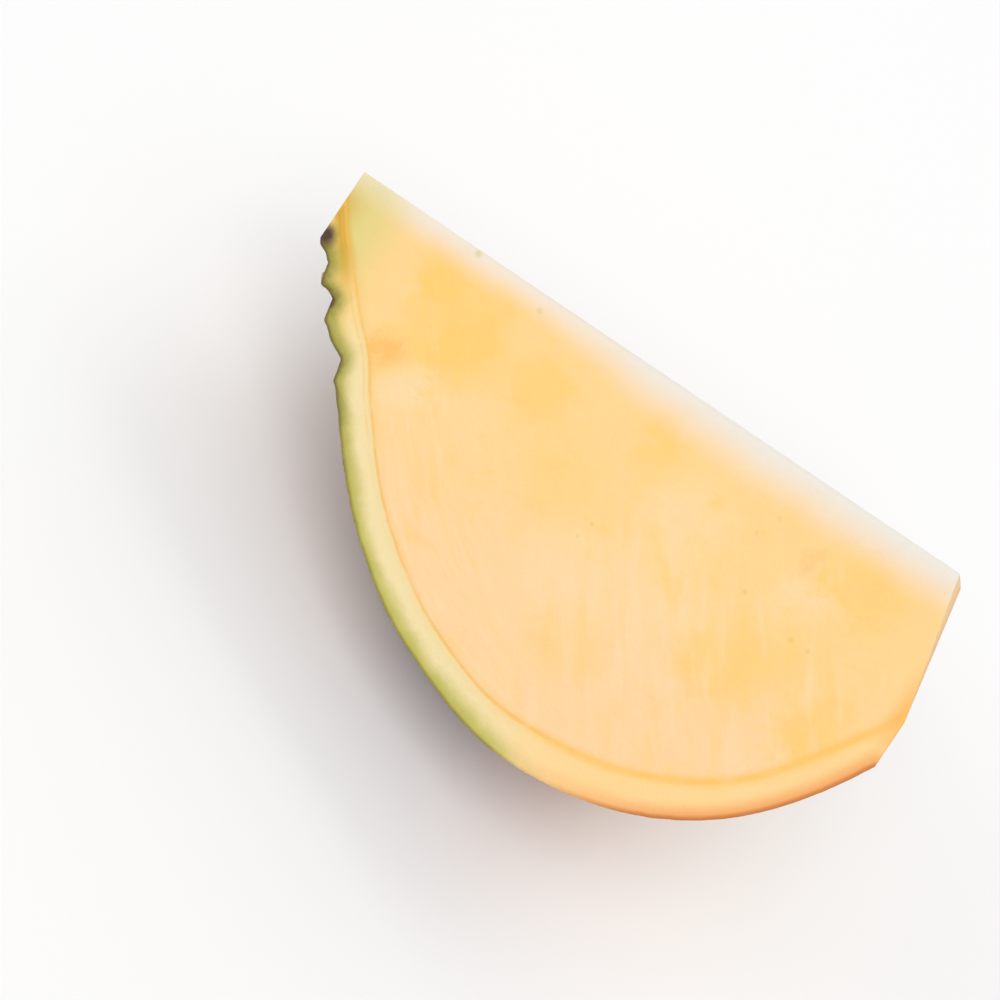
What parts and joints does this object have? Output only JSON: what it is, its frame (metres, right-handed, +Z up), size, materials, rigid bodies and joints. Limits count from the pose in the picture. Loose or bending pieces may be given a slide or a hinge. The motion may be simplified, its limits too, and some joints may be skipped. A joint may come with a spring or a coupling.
{
  "type": "swede wedge",
  "caption": "Quarter of a raw swede, cut lengthwise, lying on its purple-brown skin with the yellow cut faces and knife-cut ridge uppermost.",
  "frame": {"origin": "middle of the bounding box's underside, at the level of the rest spot that the quarter lies on", "axes": "+X along the quarter from the crown end to the root end, +Z up, and the front cut face towards -Y and upwards"},
  "size_m": [0.1176, 0.086, 0.0719],
  "materials": {
    "flesh": "raw swede flesh, satin and slightly moist, yellow with peach mottling, and a pale green rind",
    "skin": "swede skin, matt, purple brown with tan russet streaks and corky leaf scars"
  },
  "bodies": {
    "root": {"swede_wedge": "flesh"}
  },
  "joints": []
}
